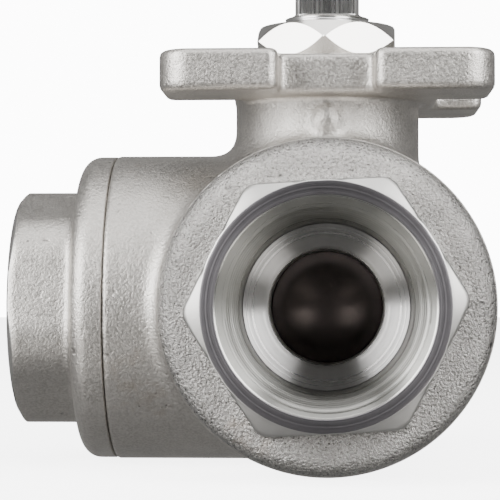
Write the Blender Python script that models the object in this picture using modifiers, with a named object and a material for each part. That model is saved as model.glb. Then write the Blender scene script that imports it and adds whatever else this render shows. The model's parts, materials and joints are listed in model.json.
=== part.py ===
"""Three-way ball valve with a direct-mount pad: cast body, three screwed end caps, L-bored ball.

Every separate piece of the real valve is one object.  Sizes below are in millimetres and are
measured from the ball centre, where the port axes and the stem axis meet.  The finished
objects stand in metres with +Z up, the run along Y, the branch port facing -X, and the
origin at the middle of the underside of the whole valve.
"""

import math

import bmesh
import bpy
from mathutils import Matrix

MM = 0.001
GAP = 0.3                   # clearance between neighbouring pieces
EDGE = 0.5                  # broken edge on the ends of the body's arms
FINE_EDGE = 0.3             # broken edge on the machined pieces
WIDE_STEPS = 36             # facets round the large turned pieces
SMALL_STEPS = 24            # facets round the small ones
BALL_STEPS = 28
MERGE = 0.000001            # metres, closes a turned shape on its own seam

# Ports and arms
FACE_REACH = 43.5           # ball centre to the end face of each cap
RUN_ARM_R = 21.8            # outside radius of the body along the run
BRANCH_ARM_R = 21.5         # outside radius of the branch arm
ARM_END = 29.8              # ball centre to the machined end of each arm
CAP_BORE_R = 16.8           # body bore that takes the cap spigot
LEDGE = 16.8                # ball centre to the ledge the gasket is pressed on
SEAT_BORE_R = 13.8          # body bore behind the ledge

# End caps
FLANGE_R = 21.4
FLANGE_FACE = 34.5          # ball centre to the front of the flange
FLANGE_ROUND = 2.5          # rounding of the flange's front edge
HEX_FLATS = 30.7            # width across flats
HEX_CORNER = 1.3
HEX_TOP_R = 15.35           # radius the hexagon's corners are turned down to
CROWN_DROP = 3.2
SPIGOT_R = 16.5
NOSE_R = 13.5
SPIGOT_END = 18.5
NOSE_END = 14.5
SOCKET_R = 12.06            # crest radius of the 3/4 inch taper thread at its mouth
SOCKET_FLOOR_R = 11.3       # and at its inner end
SOCKET_MOUTH_R = 13.57
SOCKET_CHAMFER = 1.5
FLANGE_CORE_R = 13.0        # flange is solid from here out before the socket is cut
SOCKET_FLOOR = 28.0
CONE_R = 10.65
CONE_TOP = 27.0
CONE_FOOT = 25.8
PORT_R = 7.5

# Ball and seats
BALL_R = 14.0
SLOT_WIDTH = 5.3
SLOT_FLOOR = 10.4
SEAT_R = 12.0
SEAT_BACK = 14.2
SEAT_INNER_R = 7.8
SEAT_LIP_R = 9.7            # outer edge of the face that meets the ball
SEAT_MITRE = 0.5            # setback of the 45 degree edge between neighbouring seats
CAVITY_R = 14.8

# Neck, pad and stem stack
NECK_R = 13.0
NECK_FILLET = 2.2
PAD_FOOT = 28.8
PAD_TOP = 34.4
PAD_HALF_X = 22.5
PAD_HALF_Y = 21.5
EAR_START_X = 6.4
EAR_START_Y = 6.4
EAR_END_ROUND = 1.2
WEB_REACH = 15.6            # webs that join neighbouring ears, set back to leave the side notches
WEB_HALF = 7.5
PAD_CORNER = 4.0
BOLT_CIRCLE_R = 21.0        # 42 mm bolt circle
BOLT_HOLE_R = 2.1           # blind holes tapped M5 from above
BOLT_HOLE_DEPTH = 4.0
CHAMBER_R = 9.0
CHAMBER_FLOOR = 20.0
THROAT_R = 6.3
THRUST_LEDGE = 18.2
COLLAR_POCKET_R = 8.8
SHANK_R = 6.0
TANG_R = 6.2
COLLAR_R = 8.4
COLLAR_FOOT = 14.6
COLLAR_TOP = 17.0
GROOVE_R = 4.4              # O-ring groove in the shank
GROOVE_FOOT = 18.1
GROOVE_TOP = 20.1
O_RING_R = 5.35
O_RING_CORD_R = 0.65
PACKING_FOOT = 20.3
PACKING_HEIGHT = 3.1
PACKING_RISE = 0.7          # depth of each chevron
GLAND_TOP = 30.9
SPRING_THICK = 0.6
SPRING_RISE = 0.45
LOCK_WASHER_FOOT = 33.9
STEM_TOP = 49.0
STEM_CHAMFER = 0.8
SQUARE = 9.0
SQUARE_FOOT = 41.0
NUT_FLATS = 19.3
NUT_FOOT = 34.9
NUT_TOP = 39.7
NUT_TURN = -92.0            # direction of the nut corner nearest the front port
NUT_CORNER = 0.6
NUT_CHAMFER = 2.0

# Where the ball centre stands in the finished frame
CENTRE_X = (FACE_REACH - PAD_HALF_X) / 2
CENTRE_Z = RUN_ARM_R

# Directions of the three ports, as turns about the stem axis from +X
FRONT, BRANCH, BACK, BLIND = -90.0, 180.0, 90.0, 0.0


def clear_file():
    """Remove every object so the part starts from nothing."""
    for item in list(bpy.data.objects):
        bpy.data.objects.remove(item, do_unlink=True)


clear_file()
PARTS = bpy.data.collections.new("ball_valve")
CUTTERS = bpy.data.collections.new("cutters")
bpy.context.scene.collection.children.link(PARTS)
bpy.context.scene.collection.children.link(CUTTERS)


def radial(turn):
    """Turn a piece made along +Z to lie along a port axis, outwards."""
    return Matrix.Rotation(math.radians(turn), 4, "Z") @ Matrix.Rotation(math.radians(90), 4, "Y")


def add_object(name, work, collection, place):
    """Turn millimetre geometry into an object standing at its place in the finished frame."""
    bmesh.ops.scale(work, vec=(MM, MM, MM), verts=work.verts)
    mesh = bpy.data.meshes.new(name)
    work.to_mesh(mesh)
    work.free()
    item = bpy.data.objects.new(name, mesh)
    collection.objects.link(item)
    offset, turn, _ = place.decompose()
    item.location = (CENTRE_X * MM + offset.x * MM, offset.y * MM, CENTRE_Z * MM + offset.z * MM)
    item.rotation_mode = "QUATERNION"
    item.rotation_quaternion = turn
    if collection is CUTTERS:
        item.hide_render = True
        item.display_type = "WIRE"
    return item


def turned(name, profile, place, steps, collection=PARTS):
    """Turn an outline of (radius, height) points, given anticlockwise, round the piece's axis."""
    work = bmesh.new()
    down = [work.verts.new((radius, 0.0, height)) for radius, height in reversed(profile)]
    for first, second in zip(down, down[1:]):
        work.edges.new((first, second))
    if profile[0][0] > 0.0:
        work.edges.new((down[-1], down[0]))
    item = add_object(name, work, collection, place)
    screw = item.modifiers.new("turn", "SCREW")
    screw.axis = "Z"
    screw.steps = steps
    screw.render_steps = steps
    screw.use_merge_vertices = True
    screw.merge_threshold = MERGE
    return item


def box(name, low, high, place):
    """A block between two corners."""
    work = bmesh.new()
    bmesh.ops.create_cube(work, size=1.0)
    size = [h - l for l, h in zip(low, high)]
    middle = [(h + l) / 2 for l, h in zip(low, high)]
    bmesh.ops.scale(work, vec=size, verts=work.verts)
    bmesh.ops.translate(work, vec=middle, verts=work.verts)
    return add_object(name, work, CUTTERS, place)


def hexagon(name, flats, low, high, corner_turn, corner, place=Matrix(), collection=CUTTERS):
    """A hexagon bar with rounded corners; one corner lies on the turn direction."""
    reach = flats / math.sqrt(3)
    work = bmesh.new()
    bmesh.ops.create_cone(work, cap_ends=True, segments=6, radius1=reach, radius2=reach, depth=high - low)
    bmesh.ops.rotate(work, verts=work.verts, matrix=Matrix.Rotation(math.radians(corner_turn - 90), 3, "Z"))
    bmesh.ops.translate(work, vec=(0.0, 0.0, (high + low) / 2), verts=work.verts)
    upright = [edge for edge in work.edges if abs(edge.verts[0].co.z - edge.verts[1].co.z) > 1.0]
    bmesh.ops.bevel(work, geom=upright, offset=corner, segments=2, profile=0.5, affect="EDGES")
    return add_object(name, work, collection, place)


def ball_shape(name, radius, steps, collection):
    """A sphere round the ball centre."""
    work = bmesh.new()
    bmesh.ops.create_uvsphere(work, u_segments=steps, v_segments=steps // 2, radius=radius)
    return add_object(name, work, collection, Matrix())


def combine(item, tool, operation):
    """Join a tool to a piece, or cut it away."""
    change = item.modifiers.new(tool.name, "BOOLEAN")
    change.operation = operation
    change.solver = "EXACT"
    change.object = tool


def arc(centre, radius, start, end, count):
    """Points along an arc, angles in degrees from the outline's first axis."""
    points = []
    for step in range(count + 1):
        angle = math.radians(start + (end - start) * step / count)
        points.append((centre[0] + radius * math.cos(angle), centre[1] + radius * math.sin(angle)))
    return points


def ring(inner, outer, low, high):
    """Outline of a plain ring."""
    return [(inner, low), (outer, low), (outer, high), (inner, high)]


# ---------------------------------------------------------------- body


def make_ear(label, side_x, side_y):
    """One corner block of the pad, with its outer corner well rounded."""
    work = bmesh.new()
    bmesh.ops.create_cube(work, size=1.0)
    size = (PAD_HALF_X - EAR_START_X, PAD_HALF_Y - EAR_START_Y, PAD_TOP - PAD_FOOT)
    middle = (side_x * (PAD_HALF_X + EAR_START_X) / 2, side_y * (PAD_HALF_Y + EAR_START_Y) / 2,
              (PAD_TOP + PAD_FOOT) / 2)
    bmesh.ops.scale(work, vec=size, verts=work.verts)
    bmesh.ops.translate(work, vec=middle, verts=work.verts)

    def upright(at_outer_x, at_outer_y):
        chosen = []
        for edge in work.edges:
            first, second = edge.verts[0].co, edge.verts[1].co
            outer_x = abs(first.x) > PAD_HALF_X - 0.01
            outer_y = abs(first.y) > PAD_HALF_Y - 0.01
            standing = abs(first.z - second.z) > 1.0
            if standing and outer_x == at_outer_x and outer_y == at_outer_y:
                chosen.append(edge)
        return chosen

    bmesh.ops.bevel(work, geom=upright(True, True), offset=PAD_CORNER, segments=5, profile=0.5,
                    affect="EDGES")
    sides = upright(True, False) + upright(False, True)
    ends = [edge for edge in sides if abs(abs(edge.verts[0].co.x) - EAR_START_X) < 0.01
            or abs(abs(edge.verts[0].co.y) - EAR_START_Y) < 0.01]
    bmesh.ops.bevel(work, geom=ends, offset=EAR_END_ROUND, segments=2, profile=0.5, affect="EDGES")
    return add_object("ear_" + label, work, CUTTERS, Matrix())


def make_body():
    """Cast housing: run arm, branch arm, neck and pad, bored for the caps, ball and stem."""
    run_outline = [(0.0, -ARM_END), (RUN_ARM_R - EDGE, -ARM_END), (RUN_ARM_R, -ARM_END + EDGE),
                   (RUN_ARM_R, ARM_END - EDGE), (RUN_ARM_R - EDGE, ARM_END), (0.0, ARM_END)]
    body = turned("body", run_outline, radial(BACK), WIDE_STEPS)
    branch_outline = [(0.0, 0.0), (BRANCH_ARM_R, 0.0), (BRANCH_ARM_R, ARM_END - EDGE),
                      (BRANCH_ARM_R - EDGE, ARM_END), (0.0, ARM_END)]
    branch = turned("branch_arm", branch_outline, radial(BRANCH), WIDE_STEPS, CUTTERS)
    flare = arc((NECK_R + NECK_FILLET, RUN_ARM_R + NECK_FILLET), NECK_FILLET, 180, 250, 3)
    neck_outline = [(0.0, 0.0), (flare[-1][0], 0.0)] + list(reversed(flare))
    neck_outline += [(NECK_R, PAD_FOOT), (0.0, PAD_FOOT)]
    neck = turned("neck", neck_outline, Matrix(), WIDE_STEPS, CUTTERS)
    combine(body, branch, "UNION")
    combine(body, neck, "UNION")
    rim = [(0.0, PAD_FOOT - 1), (NECK_R, PAD_FOOT - 1), (NECK_R, PAD_TOP), (0.0, PAD_TOP)]
    combine(body, turned("pad_rim", rim, Matrix(), WIDE_STEPS, CUTTERS), "UNION")
    for label, turn in (("front", FRONT), ("right", BLIND)):
        about = Matrix.Rotation(math.radians(turn), 4, "Z")
        web = box("web_" + label, (0.0, -WEB_HALF, PAD_FOOT), (WEB_REACH, WEB_HALF, PAD_TOP), about)
        combine(body, web, "UNION")
    for label, side_x, side_y in (("front_left", -1, -1), ("front_right", 1, -1), ("back_right", 1, 1)):
        combine(body, make_ear(label, side_x, side_y), "UNION")
        spot = BOLT_CIRCLE_R / math.sqrt(2)
        floor = PAD_TOP - BOLT_HOLE_DEPTH
        drill = [(0.0, floor), (BOLT_HOLE_R, floor), (BOLT_HOLE_R, PAD_TOP + 1), (0.0, PAD_TOP + 1)]
        stand = Matrix.Translation((side_x * spot, side_y * spot, 0.0))
        hole = turned("hole_" + label, drill, stand, 20, CUTTERS)
        combine(body, hole, "DIFFERENCE")

    past = ARM_END + 2
    run_bore = [(0.0, -past), (CAP_BORE_R, -past), (CAP_BORE_R, -LEDGE), (SEAT_BORE_R, -LEDGE),
                (SEAT_BORE_R, LEDGE), (CAP_BORE_R, LEDGE), (CAP_BORE_R, past), (0.0, past)]
    branch_bore = [(0.0, 0.0), (SEAT_BORE_R, 0.0), (SEAT_BORE_R, LEDGE), (CAP_BORE_R, LEDGE),
                   (CAP_BORE_R, past), (0.0, past)]
    pocket = [(0.0, 0.0), (SEAT_R + GAP, 0.0), (SEAT_R + GAP, SEAT_BACK + GAP), (0.0, SEAT_BACK + GAP)]
    stem_bore = [(0.0, 0.0), (COLLAR_POCKET_R, 0.0), (COLLAR_POCKET_R, THRUST_LEDGE),
                 (THROAT_R, THRUST_LEDGE), (THROAT_R, CHAMBER_FLOOR), (CHAMBER_R, CHAMBER_FLOOR),
                 (CHAMBER_R, PAD_TOP + 2), (0.0, PAD_TOP + 2)]
    combine(body, turned("run_bore", run_bore, radial(BACK), WIDE_STEPS, CUTTERS), "DIFFERENCE")
    combine(body, turned("branch_bore", branch_bore, radial(BRANCH), WIDE_STEPS, CUTTERS), "DIFFERENCE")
    combine(body, ball_shape("ball_cavity", CAVITY_R, BALL_STEPS, CUTTERS), "DIFFERENCE")
    combine(body, turned("blind_pocket", pocket, radial(BLIND), SMALL_STEPS, CUTTERS), "DIFFERENCE")
    combine(body, turned("stem_bore", stem_bore, Matrix(), SMALL_STEPS, CUTTERS), "DIFFERENCE")
    return body


# ---------------------------------------------------------------- caps, gaskets and seats


def make_cap(name, direction, corner_turn):
    """Screwed end cap: spigot, round flange, hexagon, socket, cone and through port."""
    rounding = arc((FLANGE_R - FLANGE_ROUND, FLANGE_FACE - FLANGE_ROUND), FLANGE_ROUND, 0, 90, 5)
    outline = [(PORT_R, NOSE_END), (NOSE_R - 0.3, NOSE_END), (NOSE_R, NOSE_END + 0.3),
               (NOSE_R, SPIGOT_END), (SPIGOT_R, SPIGOT_END), (SPIGOT_R, ARM_END + GAP),
               (FLANGE_R, ARM_END + GAP)]
    outline += rounding
    outline += [(FLANGE_CORE_R, FLANGE_FACE), (PORT_R, FLANGE_FACE)]
    cap = turned(name, outline, radial(direction), WIDE_STEPS)
    place = radial(direction)
    root = FLANGE_FACE - 1.0
    bar = hexagon(name + "_hexagon", HEX_FLATS, root, FACE_REACH, corner_turn, HEX_CORNER, place)
    crown = [(0.0, root - 1), (FLANGE_R, root - 1), (FLANGE_R, FACE_REACH - CROWN_DROP),
             (HEX_TOP_R, FACE_REACH), (0.0, FACE_REACH)]
    shape = turned(name + "_crown", crown, place, WIDE_STEPS, CUTTERS)
    combine(bar, shape, "INTERSECT")
    combine(cap, bar, "UNION")
    bore = [(0.0, SPIGOT_END), (PORT_R, SPIGOT_END), (PORT_R, CONE_FOOT), (CONE_R, CONE_TOP),
            (SOCKET_FLOOR_R, SOCKET_FLOOR), (SOCKET_R, FACE_REACH - SOCKET_CHAMFER),
            (SOCKET_MOUTH_R, FACE_REACH),
            (SOCKET_MOUTH_R, FACE_REACH + 1), (0.0, FACE_REACH + 1)]
    combine(cap, turned(name + "_socket", bore, place, WIDE_STEPS, CUTTERS), "DIFFERENCE")
    return cap


def make_gasket(name, direction):
    """Ring pressed between the cap spigot and the body ledge."""
    outline = ring(NOSE_R + GAP, CAP_BORE_R - GAP, LEDGE + GAP, SPIGOT_END - GAP)
    return turned(name, outline, radial(direction), SMALL_STEPS)


def make_seat(name, direction):
    """Seat ring: hollow face against the ball, outer edge mitred to clear its neighbours."""
    face = []
    for step in range(5):
        radius = SEAT_INNER_R + (SEAT_LIP_R - SEAT_INNER_R) * step / 4
        face.append((radius, math.sqrt((BALL_R + GAP) ** 2 - radius ** 2)))
    lip = SEAT_LIP_R + 0.2
    edge = [(lip, lip + SEAT_MITRE), (SEAT_R, SEAT_R + SEAT_MITRE), (SEAT_R, SEAT_BACK - FINE_EDGE),
            (SEAT_R - FINE_EDGE, SEAT_BACK), (SEAT_INNER_R, SEAT_BACK)]
    return turned(name, face + edge, radial(direction), SMALL_STEPS)


def make_ball():
    """Ball with an L-shaped bore and a driving slot across its top."""
    ball = ball_shape("ball", BALL_R, BALL_STEPS, PARTS)
    reach = BALL_R + 2
    outline = [(0.0, -PORT_R), (PORT_R, -PORT_R), (PORT_R, reach), (0.0, reach)]
    for label, direction, steps in (("branch", BRANCH, 24), ("back", BACK, 22)):
        bore = turned("ball_bore_" + label, outline, radial(direction), steps, CUTTERS)
        combine(ball, bore, "DIFFERENCE")
    half = SLOT_WIDTH / 2
    slot = box("ball_slot", (-reach, -half, SLOT_FLOOR), (reach, half, reach), Matrix())
    combine(ball, slot, "DIFFERENCE")
    return ball


# ---------------------------------------------------------------- stem stack


def make_stem():
    """Stem: driving tang, collar, O-ring groove, threaded shank and square drive end."""
    outline = [(0.0, SLOT_FLOOR + GAP), (TANG_R, SLOT_FLOOR + GAP), (TANG_R, COLLAR_FOOT)]
    outline += [(COLLAR_R - FINE_EDGE, COLLAR_FOOT), (COLLAR_R, COLLAR_FOOT + FINE_EDGE),
                (COLLAR_R, COLLAR_TOP - FINE_EDGE), (COLLAR_R - FINE_EDGE, COLLAR_TOP)]
    outline += [(SHANK_R, COLLAR_TOP), (SHANK_R, GROOVE_FOOT), (GROOVE_R, GROOVE_FOOT),
                (GROOVE_R, GROOVE_TOP), (SHANK_R, GROOVE_TOP)]
    outline += [(SHANK_R, STEM_TOP - STEM_CHAMFER), (SHANK_R - STEM_CHAMFER, STEM_TOP), (0.0, STEM_TOP)]
    stem = turned("stem", outline, Matrix(), SMALL_STEPS)
    half = SLOT_WIDTH / 2 - GAP
    past = COLLAR_R + 1
    for turn in (0, 180):
        about = Matrix.Rotation(math.radians(turn), 4, "Z")
        low, high = (-past, half, SLOT_FLOOR - 1), (past, past, COLLAR_FOOT - GAP)
        combine(stem, box("tang_side_%d" % turn, low, high, about), "DIFFERENCE")
    for turn in range(0, 360, 90):
        about = Matrix.Rotation(math.radians(turn), 4, "Z")
        low, high = (SQUARE / 2, -past, SQUARE_FOOT), (past, past, STEM_TOP + 1)
        combine(stem, box("drive_flat_%d" % turn, low, high, about), "DIFFERENCE")
    return stem


def make_nut():
    """Hexagon nut on the stem, chamfered at both ends."""
    nut = hexagon("stem_nut", NUT_FLATS, NUT_FOOT, NUT_TOP, NUT_TURN, NUT_CORNER, Matrix(), PARTS)
    reach = NUT_FLATS / 2
    face = reach - 0.1
    past = face + NUT_CHAMFER
    crown = [(0.0, NUT_FOOT), (face, NUT_FOOT), (past, NUT_FOOT + NUT_CHAMFER),
             (past, NUT_TOP - NUT_CHAMFER), (face, NUT_TOP), (0.0, NUT_TOP)]
    combine(nut, turned("nut_crown", crown, Matrix(), SMALL_STEPS, CUTTERS), "INTERSECT")
    hole = [(0.0, NUT_FOOT - 1), (SHANK_R + GAP, NUT_FOOT - 1), (SHANK_R + GAP, NUT_TOP + 1),
            (0.0, NUT_TOP + 1)]
    combine(nut, turned("nut_hole", hole, Matrix(), SMALL_STEPS, CUTTERS), "DIFFERENCE")
    return nut


def make_packing(name, low):
    """One chevron ring of the stem packing."""
    inner, outer, high = SHANK_R + GAP, CHAMBER_R - GAP, low + PACKING_HEIGHT
    middle = (inner + outer) / 2
    outline = [(inner, low), (middle, low + PACKING_RISE), (outer, low), (outer, high - PACKING_RISE),
               (middle, high), (inner, high - PACKING_RISE)]
    return turned(name, outline, Matrix(), SMALL_STEPS)


def make_belleville(name, low, cupped_up):
    """Cone spring washer."""
    inner, outer = SHANK_R + GAP, CHAMBER_R - GAP
    inside, outside = (low, low + SPRING_RISE) if cupped_up else (low + SPRING_RISE, low)
    outline = [(inner, inside), (outer, outside), (outer, outside + SPRING_THICK),
               (inner, inside + SPRING_THICK)]
    return turned(name, outline, Matrix(), SMALL_STEPS)


def make_o_ring():
    """Rubber ring in the stem groove."""
    middle = (O_RING_R, (GROOVE_FOOT + GROOVE_TOP) / 2)
    return turned("stem_o_ring", arc(middle, O_RING_CORD_R, 0, 315, 7), Matrix(), SMALL_STEPS)


# ---------------------------------------------------------------- assembly

SURFACES = {
    "cast_steel": ((0.52, 0.515, 0.505), 1.0, 0.45),
    "machined_steel": ((0.62, 0.62, 0.62), 1.0, 0.25),
    "polished_steel": ((0.72, 0.72, 0.72), 1.0, 0.08),
    "spring_steel": ((0.42, 0.42, 0.43), 1.0, 0.35),
    "ptfe": ((0.86, 0.86, 0.83), 0.0, 0.5),
    "rubber": ((0.05, 0.05, 0.05), 0.0, 0.7),
}


def surface(item, kind):
    """Give a piece its own simple material."""
    colour, metal, rough = SURFACES[kind]
    material = bpy.data.materials.new(item.name + "_" + kind)
    material.use_nodes = True
    shader = material.node_tree.nodes["Principled BSDF"]
    shader.inputs["Base Color"].default_value = (*colour, 1.0)
    shader.inputs["Metallic"].default_value = metal
    shader.inputs["Roughness"].default_value = rough
    item.data.materials.append(material)


def assemble():
    """Make every piece and finish it."""
    pieces = [(make_body(), "cast_steel")]
    for side, direction, corner in (("front", FRONT, 93.0), ("branch", BRANCH, 68.0), ("back", BACK, 80.0)):
        pieces.append((make_cap(side + "_end_cap", direction, corner), "cast_steel"))
        pieces.append((make_gasket(side + "_cap_gasket", direction), "ptfe"))
        pieces.append((make_seat(side + "_seat", direction), "ptfe"))
    pieces.append((make_seat("blind_side_seat", BLIND), "ptfe"))
    pieces.append((make_ball(), "polished_steel"))
    pieces.append((make_stem(), "machined_steel"))
    washer = ring(SHANK_R + GAP, COLLAR_POCKET_R - GAP, COLLAR_TOP + GAP, THRUST_LEDGE - GAP)
    pieces.append((turned("thrust_washer", washer, Matrix(), SMALL_STEPS), "ptfe"))
    pieces.append((make_o_ring(), "rubber"))
    low = PACKING_FOOT
    for place in ("lower", "middle", "upper"):
        pieces.append((make_packing(place + "_packing_ring", low), "ptfe"))
        low += PACKING_HEIGHT - PACKING_RISE + GAP
    inner, outer = SHANK_R + GAP, CHAMBER_R - GAP
    gland = [(inner, low), ((inner + outer) / 2, low + PACKING_RISE), (outer, low), (outer, GLAND_TOP),
             (inner, GLAND_TOP)]
    pieces.append((turned("gland_ring", gland, Matrix(), SMALL_STEPS), "machined_steel"))
    low = GLAND_TOP + GAP
    pieces.append((make_belleville("lower_spring_washer", low, True), "spring_steel"))
    low += SPRING_RISE + SPRING_THICK + GAP
    pieces.append((make_belleville("upper_spring_washer", low, False), "spring_steel"))
    washer = ring(SHANK_R + GAP, CHAMBER_R - GAP, LOCK_WASHER_FOOT, NUT_FOOT - GAP)
    pieces.append((turned("lock_washer", washer, Matrix(), SMALL_STEPS), "spring_steel"))
    pieces.append((make_nut(), "machined_steel"))
    for item, kind in pieces:
        surface(item, kind)
        item.data.shade_smooth()
        item.data.set_sharp_from_angle(angle=math.radians(30))


assemble()
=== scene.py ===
"""Looks of the three-way ball valve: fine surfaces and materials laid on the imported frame."""

import json
import math

import bmesh
import bpy
import numpy as np
from mathutils import Matrix, Vector


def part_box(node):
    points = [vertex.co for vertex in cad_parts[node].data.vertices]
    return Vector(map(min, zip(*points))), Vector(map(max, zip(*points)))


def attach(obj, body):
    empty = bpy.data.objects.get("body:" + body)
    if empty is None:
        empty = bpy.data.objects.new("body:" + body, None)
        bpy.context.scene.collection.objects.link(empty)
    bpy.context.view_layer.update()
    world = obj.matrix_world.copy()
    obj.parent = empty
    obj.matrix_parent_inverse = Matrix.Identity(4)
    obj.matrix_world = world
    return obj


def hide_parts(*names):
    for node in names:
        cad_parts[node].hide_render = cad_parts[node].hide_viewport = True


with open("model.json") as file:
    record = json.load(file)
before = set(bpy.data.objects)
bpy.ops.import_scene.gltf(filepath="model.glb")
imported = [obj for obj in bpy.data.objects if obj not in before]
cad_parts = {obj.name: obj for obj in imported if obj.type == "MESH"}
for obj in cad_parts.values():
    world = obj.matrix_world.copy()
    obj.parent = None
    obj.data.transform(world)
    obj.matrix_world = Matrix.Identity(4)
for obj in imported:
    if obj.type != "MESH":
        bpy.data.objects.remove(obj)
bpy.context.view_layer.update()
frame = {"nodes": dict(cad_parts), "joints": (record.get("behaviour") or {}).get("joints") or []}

TAU = 2 * math.pi
MM = 0.001

# ---------------------------------------------------------------- sizes, in mm from the ball centre

PIVOT = [joint for joint in frame["joints"] if joint["name"] == "stem_turn"][0]["pos_m"]
CENTRE = Vector(PIVOT)
FRONT_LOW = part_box("front_end_cap")[0]
STEM_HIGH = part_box("stem")[1]
NUT_LOW, NUT_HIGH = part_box("stem_nut")
BODY_LOW, BODY_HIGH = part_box("body")

# Casting
FACE_REACH = (CENTRE.y - FRONT_LOW.y) / MM      # end face of each cap
ARM_END = (BODY_HIGH.y - CENTRE.y) / MM         # machined end of each arm
RUN_ARM_R = (CENTRE.z - BODY_LOW.z) / MM
BRANCH_ARM_R = RUN_ARM_R - 0.3
ARM_EDGE = 0.35
ARM_BLEND = 3.0
NECK_R = 13.0
NECK_ROOT = 4.0
NECK_EDGE = 0.5
NECK_BLEND = 3.6
LUMP_HEIGHT = 25.4                              # small cast lump on the front of the neck
LUMP_R = 1.9
LUMP_DEPTH = 0.5                                # its depth and height as shares of its radius
LUMP_TALL = 1.1
LUMP_BLEND = 0.8

# Mounting pad, with three ears and two webs
PAD_TOP = (BODY_HIGH.z - CENTRE.z) / MM
PAD_FOOT = PAD_TOP - 5.6
PAD_HALF_X = (BODY_HIGH.x - CENTRE.x) / MM
PAD_HALF_Y = 21.5
PAD_CORNER = 4.2
PAD_CORNER_SPAN = 15.0                          # half side of the square that rounds an ear's corner
PAD_EDGE = 0.9
PAD_BLEND = 1.0
WEB_REACH = 15.6
WEB_HALF = 7.5
WEB_CORNER = 0.5
EAR_START = 6.4
EAR_CORNER = 1.4
EAR_BLEND = 1.2
EARS = ((-1, -1), (1, -1), (1, 1))              # sides of x and y that carry an ear
BOLT_CIRCLE_R = 21.0
HOLE_R = 2.1
HOLE_DEPTH = 4.0
HOLE_CHAMFER = 0.4

# Hollows of the casting
SEAT_BORE_R = 13.8
CAP_BORE_R = 16.8                               # bored this wide outside this same distance
CAVITY_R = 14.8
POCKET_R = 12.3
POCKET_DEPTH = 14.5
COLLAR_POCKET_R = 8.8
THRUST_LEDGE = 18.2
THROAT_R = 6.3
THROAT_SPAN = (17.0, 21.0)
CHAMBER_R = 9.0
CHAMBER_FLOOR = 20.0
CHAMBER_CHAMFER = 0.6

# End caps
PORT_R = 7.5
FLANGE_R = 21.4
FLANGE_FACE = 34.5
FLANGE_ROUND = 2.5
FLANGE_BACK_EDGE = 0.25
HEX_FLATS = 30.7
HEX_CORNER = 2.2
SOFT_CORNER = 8.0                               # rounder hexagon of the branch and back caps
HEX_TOP_R = 15.4
HEX_FILLET = 1.3
CROWN_SLOPE = 0.53
SPIGOT_R = 16.5
SPIGOT_END = 18.5
NOSE_R = 13.5
NOSE_END = 14.5
NOSE_EDGE = 0.3
CONE_FOOT = 25.7
CONE_R = 10.75
CONE_TOP = 27.1
GROOVE_R = 10.8                                 # fine groove round the cone
GROOVE_FLOOR = 26.6
SHOULDER_R = 10.95
SHOULDER = 27.35
THREAD_START = 28.0
THREAD_SPAN = 14.0                              # height over which the thread opens out
THREAD_FADE = 1.2
THREAD_MINOR = 12.2
THREAD_FLOOR = 11.05
THREAD_DEPTH = 0.6
THREAD_PITCH = 1.814
ROWS_PER_PITCH = 7
MOUTH_R = 13.57
MOUTH_DEPTH = 1.5

# Ball, stem and nut
BALL_R = 14.0
BALL_TOOL = 24.0                                # length of the tool that bores the ball
SLOT_HALF = 2.65
SLOT_FLOOR = 10.4
SHANK_R = 6.0
STEM_TOP = (STEM_HIGH.z - CENTRE.z) / MM
STEM_CHAMFER = 0.7
SQUARE = 9.0
SQUARE_FOOT = 41.0
STEM_THREAD_LENGTH = 7.0
STEM_THREAD_PITCH = 1.25
STEM_THREAD_FADE = 0.8
STEM_GROOVE_R = 4.4
STEM_GROOVE = (18.1, 20.1)
COLLAR_R = 8.4
COLLAR = (14.6, 17.0)
COLLAR_EDGE = 0.3
TANG_R = 6.2
TANG_GAP = 0.3
NUT_FLATS = 19.3
NUT_CORNER = 0.35
NUT_TURN = -92.0
NUT_SLOPE = 1.6
NUT_BORE_R = 6.3
NUT_EDGE = 0.3
NUT_FOOT = (NUT_LOW.z - CENTRE.z) / MM
NUT_TOP = (NUT_HIGH.z - CENTRE.z) / MM
AXIS_R = 0.001                                  # stands for a point on the axis

DETAIL = 2
BODY_STEP = 0.38         # mm between samples of the casting
BODY_MARGIN = 2.1                               # samples kept free round it


# ---------------------------------------------------------------- material tools


def new_material(name, colour, metal, rough):
    """A Principled material, with its shader, to add texture to."""
    material = bpy.data.materials.new(name)
    material.use_nodes = True
    shader = material.node_tree.nodes["Principled BSDF"]
    shader.inputs["Base Color"].default_value = (*colour, 1.0)
    shader.inputs["Metallic"].default_value = metal
    shader.inputs["Roughness"].default_value = rough
    return material, shader


def node(material, kind, **settings):
    """Add a node and set the plain values it is given."""
    made = material.node_tree.nodes.new(kind)
    for key, value in settings.items():
        if key in made.inputs:
            made.inputs[key].default_value = value
        else:
            setattr(made, key, value)
    return made


def join(material, source, target):
    material.node_tree.links.new(source, target)


def coordinates(material):
    """Object coordinates, which are metres in the shared frame."""
    return node(material, "ShaderNodeTexCoord").outputs["Object"]


def noise(material, scale, detail=3.0, rough=0.55, vector=None, stretch=None):
    """Noise with a feature count per metre; stretch squeezes it along an axis."""
    made = node(material, "ShaderNodeTexNoise", Scale=scale, Detail=detail, Roughness=rough)
    source = vector or coordinates(material)
    if stretch:
        mapping = node(material, "ShaderNodeMapping")
        mapping.inputs["Scale"].default_value = stretch
        join(material, source, mapping.inputs["Vector"])
        source = mapping.outputs["Vector"]
    join(material, source, made.inputs["Vector"])
    return made.outputs["Fac"]


def spread(material, source, low, high, start=0.3, end=0.7):
    """Map a 0 to 1 value onto a range."""
    made = node(material, "ShaderNodeMapRange")
    made.inputs["From Min"].default_value = start
    made.inputs["From Max"].default_value = end
    made.inputs["To Min"].default_value = low
    made.inputs["To Max"].default_value = high
    join(material, source, made.inputs["Value"])
    return made.outputs["Result"]


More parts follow.
